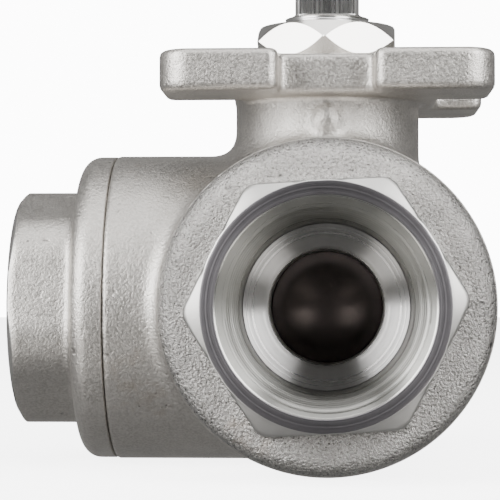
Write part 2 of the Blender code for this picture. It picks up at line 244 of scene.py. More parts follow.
def tint(material, source, dark, light, start=0.3, end=0.7):
    """Colour between two tones by a 0 to 1 value."""
    ramp = node(material, "ShaderNodeValToRGB")
    ramp.color_ramp.elements[0].position = start
    ramp.color_ramp.elements[1].position = end
    ramp.color_ramp.elements[0].color = (*dark, 1.0)
    ramp.color_ramp.elements[1].color = (*light, 1.0)
    join(material, source, ramp.inputs["Fac"])
    return ramp.outputs["Color"]


def blend_colours(material, factor, first, second):
    mix = node(material, "ShaderNodeMix", data_type="RGBA")
    join(material, factor, mix.inputs[0])
    join(material, first, mix.inputs[6])
    join(material, second, mix.inputs[7])
    return mix.outputs[2]


def multiply(material, first, second, reference):
    """Darken one colour by another that is taken relative to a reference tone."""
    scale = node(material, "ShaderNodeVectorMath", operation="DIVIDE")
    scale.inputs[1].default_value = reference
    join(material, second, scale.inputs[0])
    made = node(material, "ShaderNodeVectorMath", operation="MULTIPLY")
    join(material, first, made.inputs[0])
    join(material, scale.outputs[0], made.inputs[1])
    return made.outputs[0]


def bump(material, shader, heights):
    """Stack bumps; each is (value, depth in metres, strength)."""
    normal = None
    for value, depth, strength in heights:
        made = node(material, "ShaderNodeBump", Strength=strength, Distance=depth)
        join(material, value, made.inputs["Height"])
        if normal is not None:
            join(material, normal, made.inputs["Normal"])
        normal = made.outputs["Normal"]
    join(material, normal, shader.inputs["Normal"])


def distance_from_axis(material, axis):
    """Distance from a port axis or the stem axis, in metres."""
    shift = node(material, "ShaderNodeVectorMath", operation="SUBTRACT")
    shift.inputs[1].default_value = CENTRE
    join(material, coordinates(material), shift.inputs[0])
    flat = node(material, "ShaderNodeVectorMath", operation="MULTIPLY")
    flat.inputs[1].default_value = [0.0 if letter == axis else 1.0 for letter in "XYZ"]
    join(material, shift.outputs[0], flat.inputs[0])
    length = node(material, "ShaderNodeVectorMath", operation="LENGTH")
    join(material, flat.outputs[0], length.inputs[0])
    return length.outputs["Value"]


def turning_rings(material, axis, per_metre):
    """Fine rings left by a lathe, about a port axis or the stem axis."""
    radius = distance_from_axis(material, axis)
    scale = node(material, "ShaderNodeMath", operation="MULTIPLY")
    scale.inputs[1].default_value = per_metre
    join(material, radius, scale.inputs[0])
    made = node(material, "ShaderNodeTexNoise", noise_dimensions="1D", Scale=1.0, Detail=2.0)
    join(material, scale.outputs[0], made.inputs["W"])
    return made.outputs["Fac"]


# ---------------------------------------------------------------- materials

BLOTCHES = 190.0            # features per metre of each kind of mark
PITS = 620.0
STAINS = 95.0
RING_STAINS = 260.0
HAZE = 420.0
HAIRLINES = 900.0
BROWN = (0.30, 0.235, 0.18)
ACROSS_GROOVES = 0.25       # quarter turn: grooves round the axis spread light outwards


def cast_material(name, dark, light, rough, grain_depth, grain_scale):
    """Blasted stainless casting: grain, mottling, sparse pits and a few brown handling stains."""
    material, shader = new_material(name, light, 1.0, rough)
    grain = noise(material, grain_scale, 3.0, 0.6)
    broad = noise(material, BLOTCHES, 3.0, 0.55)
    pits = noise(material, PITS, 2.0, 0.5)
    stains = noise(material, STAINS, 5.0, 0.7)
    fine = tint(material, grain, dark, light, 0.34, 0.64)
    worn = tint(material, broad, [0.8 * c for c in light], [1.04 * c for c in light], 0.35, 0.65)
    colour = blend_colours(material, spread(material, broad, 0.25, 0.55), fine, worn)
    pitted = tint(material, pits, [0.35 * c for c in dark], light, 0.2, 0.29)
    colour = multiply(material, colour, pitted, light)
    stain = node(material, "ShaderNodeRGB")
    stain.outputs[0].default_value = (*BROWN, 1.0)
    stained = spread(material, stains, 0.0, 0.45, 0.62, 0.74)
    colour = blend_colours(material, stained, colour, stain.outputs[0])
    join(material, colour, shader.inputs["Base Color"])
    join(material, spread(material, grain, rough - 0.08, rough + 0.1), shader.inputs["Roughness"])
    bump(material, shader, [(spread(material, pits, 0.0, 1.0, 0.2, 0.36), 0.00012, 0.5),
                            (broad, 0.0003, 0.25), (grain, grain_depth, 1.0)])
    return material


def turned_material(name, axis, colour, rough, depth, per_metre, anisotropy=0.5):
    """Lathe-turned steel: close rings about its axis, with faint stains."""
    material, shader = new_material(name, colour, 1.0, rough)
    rings = turning_rings(material, axis, per_metre)
    stain = noise(material, RING_STAINS, 4.0, 0.6)
    join(material, tint(material, stain, [0.86 * c for c in colour], colour, 0.3, 0.65),
         shader.inputs["Base Color"])
    join(material, spread(material, rings, rough - 0.04, rough + 0.08), shader.inputs["Roughness"])
    shader.inputs["Anisotropic"].default_value = anisotropy
    shader.inputs["Anisotropic Rotation"].default_value = ACROSS_GROOVES
    tangent = node(material, "ShaderNodeTangent", direction_type="RADIAL", axis=axis)
    join(material, tangent.outputs[0], shader.inputs["Tangent"])
    bump(material, shader, [(rings, depth, 0.8)])
    return material


def polished_material(name, colour, rough):
    """Polished steel with hairline marks."""
    material, shader = new_material(name, colour, 1.0, rough)
    haze = noise(material, HAZE, 4.0, 0.6)
    hair = noise(material, HAIRLINES, 2.0, 0.5, stretch=(1.0, 1.0, 14.0))
    join(material, tint(material, haze, [0.9 * c for c in colour], colour), shader.inputs["Base Color"])
    join(material, spread(material, haze, rough, rough + 0.06), shader.inputs["Roughness"])
    bump(material, shader, [(hair, 0.000004, 0.4)])
    return material


def plain_material(name, dark, light, rough, metal, scale):
    """PTFE, rubber and spring steel, which lie inside the valve."""
    material, shader = new_material(name, light, metal, rough)
    grain = noise(material, scale, 3.0, 0.6)
    join(material, tint(material, grain, dark, light), shader.inputs["Base Color"])
    join(material, spread(material, grain, rough - 0.05, rough + 0.08), shader.inputs["Roughness"])
    bump(material, shader, [(grain, 0.00001, 0.5)])
    return material


BODY_CAST = cast_material("cast_body", dark=(0.38, 0.36, 0.335), light=(0.60, 0.575, 0.54),
                          rough=0.40, grain_depth=0.00009, grain_scale=2900.0)
# Darker copy of the same cast steel: its coarser grain is real, but its darker tone is painted shade for
# the camera-facing cap. The lit branch cap takes the lighter body copy.
SHADED_FLANGE_CAST = cast_material("cast_flange_shaded", dark=(0.14, 0.134, 0.127), light=(0.46, 0.445, 0.425),
                            rough=0.31, grain_depth=0.00032, grain_scale=2900.0)
CROWN = polished_material("crown_steel", (0.56, 0.55, 0.53), rough=0.33)
# The ball's near-black base colour is painted shade: it stands in for the shade deep in the port and the
# dark reflection of the camera side, not the steel's own tone.
BALL_STEEL_PAINTED_DARK = polished_material("ball_steel_painted_dark", (0.21, 0.175, 0.17), rough=0.36)
NUT_STEEL = polished_material("nut_steel", (0.80, 0.78, 0.745), rough=0.16)
PTFE = plain_material("ptfe_white", dark=(0.80, 0.80, 0.77), light=(0.88, 0.88, 0.85),
                      rough=0.5, metal=0.0, scale=900.0)
RUBBER = plain_material("rubber_black", dark=(0.03, 0.03, 0.03), light=(0.06, 0.06, 0.06),
                        rough=0.65, metal=0.0, scale=1200.0)
SPRING = plain_material("spring_steel", dark=(0.34, 0.34, 0.35), light=(0.44, 0.44, 0.45),
                        rough=0.35, metal=1.0, scale=1500.0)
STEM_STEEL = turned_material("turned_stem", "Z", (0.66, 0.655, 0.64), rough=0.26,
                             depth=0.000006, per_metre=9000.0)
END_RING = {axis: turned_material("end_ring_" + axis, axis, (0.21, 0.20, 0.21), rough=0.37,
                                  depth=0.000004, per_metre=5000.0)
            for axis in "XY"}
SOCKET = {axis: turned_material("socket_" + axis, axis, (0.45, 0.445, 0.42), rough=0.31,
                                depth=0.000012, per_metre=3600.0, anisotropy=0.85)
          for axis in "XY"}
FLOOR_RING = {axis: turned_material("floor_ring_" + axis, axis, (0.50, 0.49, 0.48), rough=0.31,
                                    depth=0.000006, per_metre=3500.0, anisotropy=0.95)
              for axis in "XY"}


# ---------------------------------------------------------------- mesh tools

FRAME = Matrix.Translation(CENTRE) @ Matrix.Scale(MM, 4)


def radial(turn):
    """Turn a piece made along +Z to lie along a port axis, outwards."""
    return Matrix.Rotation(math.radians(turn), 4, "Z") @ Matrix.Rotation(math.radians(90), 4, "Y")


def mesh_object(name, points, faces, place, materials, face_materials=None):
    """A smooth object from points in millimetres."""
    mesh = bpy.data.meshes.new(name)
    mesh.from_pydata(points.tolist(), [], faces.tolist())
    for material in materials:
        mesh.materials.append(material)
    if face_materials is not None:
        mesh.polygons.foreach_set("material_index", face_materials)
    mesh.transform(FRAME @ place)
    mesh.shade_smooth()
    item = bpy.data.objects.new(name, mesh)
    bpy.context.scene.collection.objects.link(item)
    return item


def column_object(name, radii, heights, place, materials, row_materials, sharp=40.0):
    """Loop of rows round an axis; radii and heights are rows by columns, the last row meets the first."""
    rows, columns = radii.shape
    angle = np.arange(columns) * TAU / columns
    points = np.stack([radii * np.cos(angle), radii * np.sin(angle), heights], -1).reshape(-1, 3)
    row, column = np.meshgrid(np.arange(rows), np.arange(columns), indexing="ij")
    below, beside = (row + 1) % rows, (column + 1) % columns
    faces = np.stack([row * columns + column, row * columns + beside,
                      below * columns + beside, below * columns + column], -1).reshape(-1, 4)
    kinds = np.repeat(np.array(row_materials, np.int32), columns)
    item = mesh_object(name, points, faces, place, materials, kinds)
    item.data.set_sharp_from_angle(angle=math.radians(sharp))
    return item


class Rows:
    """Collects rows of one closed outline that may change round the axis."""

    def __init__(self, columns):
        self.columns = columns
        self.radii = []
        self.heights = []
        self.kinds = []

    def add(self, radius, height, kind):
        """A row at a radius and height, each a number or one value per column."""
        self.radii.append(np.zeros(self.columns) + radius)
        self.heights.append(np.zeros(self.columns) + height)
        self.kinds.append(kind)

    def line(self, start, end, count, kind):
        """Rows from one (radius, height) towards another, leaving the end to the next part."""
        for step in range(count):
            share = step / count
            self.add(start[0] + (end[0] - start[0]) * share, start[1] + (end[1] - start[1]) * share, kind)

    def bend(self, centre, size, start, end, count, kind):
        """Rows along an arc; size is its radius, or one per direction, angles in degrees."""
        across, along = size if isinstance(size, tuple) else (size, size)
        for step in range(count):
            angle = math.radians(start + (end - start) * step / count)
            self.add(centre[0] + across * math.cos(angle), centre[1] + along * math.sin(angle), kind)

    def build(self, name, place, materials, sharp=40.0):
        return column_object(name, np.array(self.radii), np.array(self.heights), place, materials,
                             self.kinds, sharp)


def hexagon_reach(columns, flats, corner, corner_turn):
    """Distance from the axis to the side of a round-cornered hexagon, for each column."""
    angle = np.degrees(np.arange(columns) * TAU / columns) - corner_turn
    off_corner = np.abs((angle + 30.0) % 60.0 - 30.0)
    side = flats / 2 / np.cos(np.radians(30.0 - off_corner))
    inset = flats / math.sqrt(3) - corner / math.cos(math.radians(30.0))
    across = inset * np.sin(np.radians(off_corner))
    rounded = inset * np.cos(np.radians(off_corner)) + np.sqrt(np.maximum(corner ** 2 - across ** 2, 0.0))
    tangent = corner * math.sin(math.radians(30.0))
    beside = rounded * np.sin(np.radians(off_corner))
    return np.where(beside < tangent, np.minimum(rounded, side), side)


# ---------------------------------------------------------------- body


def smooth_join(first, second, size):
    """Join two distance fields with a fillet."""
    share = np.maximum(size - np.abs(first - second), 0.0) / size
    return np.minimum(first, second) - share * share * size * 0.25


def rounded_box(x, y, centre, half, corner):
    """Flat distance to a rectangle with round corners."""
    across = np.abs(x - centre[0]) - half[0] + corner
    along = np.abs(y - centre[1]) - half[1] + corner
    outside = np.hypot(np.maximum(across, 0.0), np.maximum(along, 0.0))
    return outside + np.minimum(np.maximum(across, along), 0.0) - corner


def raised(flat, z, low, high, edge):
    """Raise a flat distance between two heights, with its edges rounded."""
    middle, half = (low + high) / 2, (high - low) / 2
    across, along = flat + edge, np.abs(z - middle) - half + edge
    outside = np.hypot(np.maximum(across, 0.0), np.maximum(along, 0.0))
    return outside + np.minimum(np.maximum(across, along), 0.0) - edge


def pad_outline(x, y):
    """Flat distance to the pad: a round middle, two webs and three ears."""
    pad = np.hypot(x, y) - NECK_R
    front_web = rounded_box(x, y, (0.0, -WEB_REACH / 2), (WEB_HALF, WEB_REACH / 2), WEB_CORNER)
    right_web = rounded_box(x, y, (WEB_REACH / 2, 0.0), (WEB_REACH / 2, WEB_HALF), WEB_CORNER)
    pad = np.minimum(np.minimum(pad, front_web), right_web)
    half = ((PAD_HALF_X - EAR_START) / 2, (PAD_HALF_Y - EAR_START) / 2)
    span = PAD_CORNER_SPAN
    for side_x, side_y in EARS:
        ear = rounded_box(x, y, (side_x * (EAR_START + half[0]), side_y * (EAR_START + half[1])), half,
                          EAR_CORNER)
        outer = rounded_box(x, y, (side_x * (PAD_HALF_X - span), side_y * (PAD_HALF_Y - span)),
                            (span, span), PAD_CORNER)
        pad = smooth_join(pad, np.maximum(ear, outer), EAR_BLEND)
    return pad


def casting(x, y, z):
    """Distance to the outside of the casting."""
    run = raised(np.hypot(x, z) - RUN_ARM_R, y, -ARM_END, ARM_END, ARM_EDGE)
    branch = raised(np.hypot(y, z) - BRANCH_ARM_R, x, -ARM_END, 0.0, ARM_EDGE)
    solid = np.maximum(smooth_join(run, branch, ARM_BLEND), -z - RUN_ARM_R)
    neck = raised(np.hypot(x, y) - NECK_R, z, NECK_ROOT, PAD_TOP - 1.0, NECK_EDGE)
    solid = smooth_join(solid, neck, NECK_BLEND)
    deep, tall = (y + NECK_R) / LUMP_DEPTH, (z - LUMP_HEIGHT) / LUMP_TALL
    lump = np.sqrt(x * x + deep ** 2 + tall ** 2) - LUMP_R
    solid = smooth_join(solid, lump * LUMP_DEPTH, LUMP_BLEND)
    return smooth_join(solid, raised(pad_outline(x, y), z, PAD_FOOT, PAD_TOP, PAD_EDGE), PAD_BLEND)


def hollows(x, y, z):
    """Distance to everything bored out of the casting."""
    from_run, from_branch, from_stem = np.hypot(x, z), np.hypot(y, z), np.hypot(x, y)
    along_run = np.abs(y)
    chamber_mouth = PAD_TOP - CHAMBER_CHAMFER
    hole_mouth = PAD_TOP - HOLE_CHAMFER
    bores = [
        np.maximum(from_run - SEAT_BORE_R, along_run - ARM_END),
        np.maximum(from_run - CAP_BORE_R, CAP_BORE_R - along_run),
        np.maximum(from_branch - SEAT_BORE_R, x),
        np.maximum(from_branch - CAP_BORE_R, x + CAP_BORE_R),
        np.sqrt(x * x + y * y + z * z) - CAVITY_R,
        raised(from_branch - POCKET_R, x, 0.0, POCKET_DEPTH, 0.0),
        raised(from_stem - COLLAR_POCKET_R, z, 0.0, THRUST_LEDGE, 0.0),
        raised(from_stem - THROAT_R, z, *THROAT_SPAN, 0.0),
        np.maximum(from_stem - CHAMBER_R, CHAMBER_FLOOR - z),
        np.maximum(from_stem - CHAMBER_R - (z - chamber_mouth), chamber_mouth - z),
    ]
    spot = BOLT_CIRCLE_R / math.sqrt(2)
    for side_x, side_y in EARS:
        hole = np.hypot(x - side_x * spot, y - side_y * spot) - HOLE_R
        bores.append(np.maximum(hole, PAD_TOP - HOLE_DEPTH - z))
        bores.append(np.maximum(hole - (z - hole_mouth), hole_mouth - z))
    nearest = bores[0]
    for bore in bores[1:]:
        nearest = np.minimum(nearest, bore)
    return nearest


def surface_net(field, low, step):
    """Points and square faces of the zero surface of a sampled distance field."""
    inside = field < 0
    corners = [(i, j, k) for i in (0, 1) for j in (0, 1) for k in (0, 1)]

    def shifted(values, corner):
        size = [n - 1 for n in values.shape]
        return values[corner[0]:corner[0] + size[0], corner[1]:corner[1] + size[1],
                      corner[2]:corner[2] + size[2]]

    count = sum(shifted(inside, corner).astype(np.int8) for corner in corners)
    cells = np.argwhere((count > 0) & (count < 8))
    number = np.full(count.shape, -1, np.int64)
    number[tuple(cells.T)] = np.arange(len(cells))
    value = {corner: field[tuple((cells + corner).T)] for corner in corners}
    total = np.zeros((len(cells), 3))
    crossings = np.zeros(len(cells))
    for corner in corners:
        for axis in range(3):
            if corner[axis] == 1:
                continue
            other = tuple(1 if a == axis else c for a, c in enumerate(corner))
            first, second = value[corner], value[other]
            crosses = (first < 0) != (second < 0)
            share = first / np.where(crosses, first - second, 1.0)
            place = np.tile(np.array(corner, float), (len(cells), 1))
            place[:, axis] += share
            total += np.where(crosses[:, None], place, 0.0)
            crossings += crosses
    points = (cells + total / crossings[:, None]) * step + low

    faces = []
    for axis in range(3):
        one, two = [a for a in range(3) if a != axis]
        ahead = [slice(None)] * 3
        ahead[axis] = slice(1, None)
        behind = [slice(None)] * 3
        behind[axis] = slice(None, -1)
        edges = np.argwhere(inside[tuple(behind)] != inside[tuple(ahead)])
        edges = edges[(edges[:, one] > 0) & (edges[:, two] > 0)]
        edges = edges[(edges[:, one] < count.shape[one]) & (edges[:, two] < count.shape[two])]
        ring = []
        for back_one, back_two in ((1, 1), (0, 1), (0, 0), (1, 0)):
            cell = edges.copy()
            cell[:, one] -= back_one
            cell[:, two] -= back_two
            ring.append(number[tuple(cell.T)])
        quads = np.stack(ring, -1)
        leaving = inside[tuple(edges.T)]
        flip = leaving if axis == 1 else ~leaving
        quads[flip] = quads[flip][:, ::-1]
        faces.append(quads)
    return points, np.concatenate(faces)


def make_body():
    """The casting, with its fillets and rounded edges."""
    margin = BODY_MARGIN * BODY_STEP
    low = np.array([-ARM_END, -ARM_END, -RUN_ARM_R]) - margin
    high = np.array([PAD_HALF_X, ARM_END, PAD_TOP]) + margin
    axes = [np.arange(start, end, BODY_STEP) for start, end in zip(low, high)]
    x, y, z = np.meshgrid(*axes, indexing="ij", sparse=True)
    field = np.maximum(casting(x, y, z), -hollows(x, y, z))
    points, faces = surface_net(field, low, BODY_STEP)
    item = mesh_object("cast_body", points, faces, Matrix(), [BODY_CAST])
    item.data.set_sharp_from_angle(angle=math.radians(75))
    return item


# ---------------------------------------------------------------- caps

CAST, CHAMFER, RING, INSIDE, FLOOR = range(5)


def add_outside(rows, reach, seam):
    """End face, crown, hexagon and flange of a cap, down to its seam with the arm."""
    top = np.minimum(reach, HEX_TOP_R)
    crown = FACE_REACH - CROWN_SLOPE * (reach - top)
    rows.line((MOUTH_R, FACE_REACH - 0.1), (MOUTH_R + 0.1, FACE_REACH), 2, RING)
    rows.line((MOUTH_R + 0.1, FACE_REACH), (top - 0.12, FACE_REACH), 5, RING)
    rows.line((top - 0.12, FACE_REACH), (top, FACE_REACH - 0.08), 2, CHAMFER)
    rows.line((top, FACE_REACH - 0.08), (reach - 0.15, crown - 0.05), 5, CHAMFER)
    rows.line((reach - 0.15, crown - 0.05), (reach, crown - 0.25), 2, CHAMFER)
    rows.line((reach, crown - 0.25), (reach, FLANGE_FACE + HEX_FILLET), 8, CAST)
    for step in range(6):
        angle = math.radians(90 * step / 6)
        rows.add(reach + HEX_FILLET * (1 - math.cos(angle)),
                 FLANGE_FACE + HEX_FILLET * (1 - math.sin(angle)), CAST)
    rim, rim_foot = FLANGE_R - FLANGE_ROUND, FLANGE_FACE - FLANGE_ROUND
    back, edge = ARM_END + seam, FLANGE_BACK_EDGE
    rows.line((reach + HEX_FILLET, FLANGE_FACE), (rim, FLANGE_FACE), 5, CAST)
    rows.bend((rim, rim_foot), FLANGE_ROUND, 90, 0, 10, CAST)
    rows.line((FLANGE_R, rim_foot), (FLANGE_R, back + 0.15), 3, CAST)
    rows.line((FLANGE_R, back + 0.15), (FLANGE_R - edge, back), 2, CAST)
    rows.line((FLANGE_R - edge, back), (SPIGOT_R, back), 2, INSIDE)


def add_inside(rows, back):
    """Spigot, nose, through port and the cone with its groove."""
    rows.line((SPIGOT_R, back), (SPIGOT_R, SPIGOT_END), 2, INSIDE)
    rows.line((SPIGOT_R, SPIGOT_END), (NOSE_R, SPIGOT_END), 2, INSIDE)
    rows.line((NOSE_R, SPIGOT_END), (NOSE_R, NOSE_END + NOSE_EDGE), 2, INSIDE)
    rows.line((NOSE_R, NOSE_END + NOSE_EDGE), (NOSE_R - NOSE_EDGE, NOSE_END), 1, INSIDE)
    rows.line((NOSE_R - NOSE_EDGE, NOSE_END), (PORT_R + 0.2, NOSE_END), 2, INSIDE)
    rows.line((PORT_R + 0.2, NOSE_END), (PORT_R, NOSE_END + 0.2), 1, INSIDE)
    rows.line((PORT_R, NOSE_END + 0.2), (PORT_R, CONE_FOOT), 4, INSIDE)
    rows.line((PORT_R, CONE_FOOT), (PORT_R + 0.12, CONE_FOOT + 0.15), 1, FLOOR)
    rows.line((PORT_R + 0.12, CONE_FOOT + 0.15), (CONE_R, CONE_TOP), 6, FLOOR)
    rows.line((CONE_R, CONE_TOP), (GROOVE_R, GROOVE_FLOOR), 2, FLOOR)
    rows.line((GROOVE_R, GROOVE_FLOOR), (SHOULDER_R, SHOULDER), 2, FLOOR)
    rows.line((SHOULDER_R, SHOULDER), (THREAD_FLOOR, THREAD_START), 2, INSIDE)


def add_socket_thread(rows):
    """Helical thread that opens out towards the mouth of the socket."""
    thread_end = FACE_REACH - 0.12
    length = thread_end - THREAD_START
    count = int(length / THREAD_PITCH * ROWS_PER_PITCH * DETAIL)
    turns = np.arange(rows.columns) / rows.columns
    for step in range(count + 1):
        height = THREAD_START + length * step / count
        wave = 0.5 - 0.5 * np.cos(TAU * (height / THREAD_PITCH + turns))
        depth = THREAD_DEPTH * min(1.0, max(0.0, (height - THREAD_START - 0.2) / THREAD_FADE))
        opening = (THREAD_MINOR - THREAD_FLOOR) * (height - THREAD_START) / THREAD_SPAN
        groove = THREAD_FLOOR + opening + depth * wave
        mouth = MOUTH_R - (FACE_REACH - height) * (MOUTH_R - THREAD_MINOR) / MOUTH_DEPTH
        rows.add(np.maximum(groove, mouth), height, INSIDE)


def make_cap(name, turn, axis, corner_turn, seam, corner, cast):
    """End cap: hexagon with turned corners, domed flange, threaded socket and cone."""
    rows = Rows(180 * DETAIL)
    reach = hexagon_reach(rows.columns, HEX_FLATS, corner, corner_turn)
    add_outside(rows, reach, seam)
    add_inside(rows, ARM_END + seam)
    add_socket_thread(rows)
    materials = [cast, CROWN, END_RING[axis], SOCKET[axis], FLOOR_RING[axis]]
    return rows.build(name, radial(turn), materials, 38.0)


# ---------------------------------------------------------------- ball, nut and stem


def make_ball():
    """Polished ball with its L bore and driving slot."""
    work = bmesh.new()
    bmesh.ops.create_uvsphere(work, u_segments=64 * DETAIL, v_segments=32 * DETAIL, radius=BALL_R)
    mesh = bpy.data.meshes.new("polished_ball")
    work.to_mesh(mesh)
    work.free()
    ball = bpy.data.objects.new("polished_ball", mesh)
    bpy.context.scene.collection.objects.link(ball)
    tools = []
    for turn, steps in ((180.0, 64), (90.0, 62)):
        work = bmesh.new()
        bmesh.ops.create_cone(work, cap_ends=True, segments=steps, radius1=PORT_R, radius2=PORT_R,
                              depth=BALL_TOOL)
        bmesh.ops.translate(work, vec=(0, 0, BALL_TOOL / 2 - PORT_R), verts=work.verts)
        tools.append((work, radial(turn)))
    work = bmesh.new()
    bmesh.ops.create_cube(work, size=1.0)
    slot_depth = 10.0
    bmesh.ops.scale(work, vec=(40.0, 2 * SLOT_HALF, slot_depth), verts=work.verts)
    bmesh.ops.translate(work, vec=(0, 0, SLOT_FLOOR + slot_depth / 2), verts=work.verts)
    tools.append((work, Matrix()))
    for work, place in tools:
        cutter_mesh = bpy.data.meshes.new("ball_tool")
        work.to_mesh(cutter_mesh)
        work.free()
        cutter_mesh.transform(place)
        cutter = bpy.data.objects.new("ball_tool", cutter_mesh)
        bpy.context.scene.collection.objects.link(cutter)
        cut = ball.modifiers.new("cut", "BOOLEAN")
        cut.object = cutter
        cut.solver = "EXACT"
        bpy.context.view_layer.update()
        shaped = bpy.data.meshes.new_from_object(ball.evaluated_get(bpy.context.evaluated_depsgraph_get()))
        ball.modifiers.clear()
        ball.data = shaped
        bpy.data.objects.remove(cutter, do_unlink=True)
    ball.data.transform(FRAME)
    ball.data.shade_smooth()
    ball.data.set_sharp_from_angle(angle=math.radians(30))
    ball.data.materials.clear()
    # This material's dark base colour is painted shade, not the colour of the polished steel.
    ball.data.materials.append(BALL_STEEL_PAINTED_DARK)
    return ball


def make_nut():
    """Stem nut, chamfered top and bottom."""
    rows = Rows(180 * DETAIL)
    reach = hexagon_reach(rows.columns, NUT_FLATS, NUT_CORNER, NUT_TURN)
    flat = np.minimum(reach, NUT_FLATS / 2 - 0.1)
    drop = NUT_SLOPE * (reach - flat) + 0.05
    mouth = NUT_BORE_R + NUT_EDGE
    rows.line((mouth, NUT_TOP), (flat, NUT_TOP), 4, 0)
    rows.line((flat, NUT_TOP), (reach, NUT_TOP - drop), 4, 0)
    rows.line((reach, NUT_TOP - drop), (reach, NUT_FOOT + drop), 5, 0)
    rows.line((reach, NUT_FOOT + drop), (flat, NUT_FOOT), 4, 0)
    rows.line((flat, NUT_FOOT), (mouth, NUT_FOOT), 4, 0)
    rows.line((mouth, NUT_FOOT), (NUT_BORE_R, NUT_FOOT + NUT_EDGE), 2, 0)
    rows.line((NUT_BORE_R, NUT_FOOT + NUT_EDGE), (NUT_BORE_R, NUT_TOP - NUT_EDGE), 3, 0)
    rows.line((NUT_BORE_R, NUT_TOP - NUT_EDGE), (mouth, NUT_TOP), 2, 0)
    return rows.build("hexagon_nut", Matrix(), [NUT_STEEL], 22.0)


def add_drive(rows, square):
    """Square end of the stem and the thread below it."""
    low, thread_foot = STEM_TOP - STEM_CHAMFER, SQUARE_FOOT - STEM_THREAD_LENGTH
    rows.line((AXIS_R, STEM_TOP), (square - STEM_CHAMFER, STEM_TOP), 3, 0)
    rows.line((square - STEM_CHAMFER, STEM_TOP), (square, low), 2, 0)
    rows.line((square, low), (square, SQUARE_FOOT + 0.3), 6, 0)
    root = np.minimum(SHANK_R - 0.1, square + 1.4)
    rows.line((square, SQUARE_FOOT + 0.3), (root, SQUARE_FOOT), 3, 0)
    turns = np.arange(rows.columns) / rows.columns
    count = 40 * DETAIL
    for step in range(count):
        height = SQUARE_FOOT - STEM_THREAD_LENGTH * step / count
        wave = 0.5 - 0.5 * np.cos(TAU * (height / STEM_THREAD_PITCH + turns))
        fade = min(1.0, (SQUARE_FOOT - height) / STEM_THREAD_FADE)
        rows.add(SHANK_R - 0.02 - THREAD_DEPTH * fade * wave, height, 0)
    rows.line((SHANK_R - 0.1, thread_foot), (SHANK_R, STEM_GROOVE[1]), 4, 0)


def add_collar_and_tang(rows, angle):
    """O-ring groove, thrust collar and the tang that turns the ball."""
    groove_foot, groove_top = STEM_GROOVE
    collar_foot, collar_top = COLLAR
    inner = COLLAR_R - COLLAR_EDGE
    rows.line((SHANK_R, groove_top), (STEM_GROOVE_R, groove_top), 2, 0)
    rows.line((STEM_GROOVE_R, groove_top), (STEM_GROOVE_R, groove_foot), 2, 0)
    rows.line((STEM_GROOVE_R, groove_foot), (SHANK_R, groove_foot), 2, 0)
    rows.line((SHANK_R, groove_foot), (SHANK_R, collar_top), 2, 0)
    rows.line((SHANK_R, collar_top), (inner, collar_top), 2, 0)
    rows.line((inner, collar_top), (COLLAR_R, collar_top - COLLAR_EDGE), 1, 0)
    rows.line((COLLAR_R, collar_top - COLLAR_EDGE), (COLLAR_R, collar_foot + COLLAR_EDGE), 2, 0)
    rows.line((COLLAR_R, collar_foot + COLLAR_EDGE), (inner, collar_foot), 1, 0)
    tang_foot = SLOT_FLOOR + TANG_GAP
    half_tang = SLOT_HALF - TANG_GAP
    tang = np.minimum(TANG_R, half_tang / np.maximum(np.abs(np.sin(angle)), AXIS_R))
    rows.line((inner, collar_foot), (tang, collar_foot - 0.1), 2, 0)
    rows.line((tang, collar_foot - 0.1), (tang, tang_foot + 0.2), 3, 0)
    rows.line((tang, tang_foot + 0.2), (tang * 0.96, tang_foot), 1, 0)
    rows.line((tang * 0.96, tang_foot), (AXIS_R, tang_foot), 3, 0)


def make_stem():
    """Stem from its square drive down to its tang."""
    rows = Rows(96 * DETAIL)
    angle = np.arange(rows.columns) * TAU / rows.columns
    to_flat = SQUARE / 2 / np.maximum(np.abs(np.cos(angle)), np.abs(np.sin(angle)))
    add_drive(rows, np.minimum(SHANK_R, to_flat))
    add_collar_and_tang(rows, angle)
    return rows.build("turned_stem_piece", Matrix(), [STEM_STEEL], 30.0)


# ---------------------------------------------------------------- put the pieces on the frame


def stand_for(item, node_name, body):
    """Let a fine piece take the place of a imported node."""
    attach(item, body)
    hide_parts(node_name)


stand_for(make_body(), "body", "housing")
# The front and back caps take the darker copy of the cast steel, whose tone is painted shade. The branch
# cap takes the lighter copy of the same steel.
CAPS = (("front", -90.0, "Y", 93.0, 0.28, HEX_CORNER, SHADED_FLANGE_CAST),
        ("branch", 180.0, "X", 68.0, 0.03, SOFT_CORNER, BODY_CAST),
        ("back", 90.0, "Y", 80.0, 0.1, SOFT_CORNER, SHADED_FLANGE_CAST))
for side, turn, axis, corner_turn, seam, corner, cast in CAPS:
    cap = make_cap(side + "_cap_turned", turn, axis, corner_turn, seam, corner, cast)
    stand_for(cap, side + "_end_cap", "housing")
stand_for(make_ball(), "ball", "ball_body")
stand_for(make_nut(), "stem_nut", "stem_group")
stand_for(make_stem(), "stem", "stem_group")

INNER = {
    "front_cap_gasket": PTFE, "branch_cap_gasket": PTFE, "back_cap_gasket": PTFE,
    "front_seat": PTFE, "branch_seat": PTFE, "back_seat": PTFE, "blind_side_seat": PTFE,
    "thrust_washer": PTFE, "lower_packing_ring": PTFE, "middle_packing_ring": PTFE,
    "upper_packing_ring": PTFE, "stem_o_ring": RUBBER, "gland_ring": STEM_STEEL,
    "lower_spring_washer": SPRING, "upper_spring_washer": SPRING, "lock_washer": SPRING,
}
for name, material in INNER.items():
    frame["nodes"][name].data.materials.clear()
    frame["nodes"][name].data.materials.append(material)


# ---------------------------------------------------------------- studio


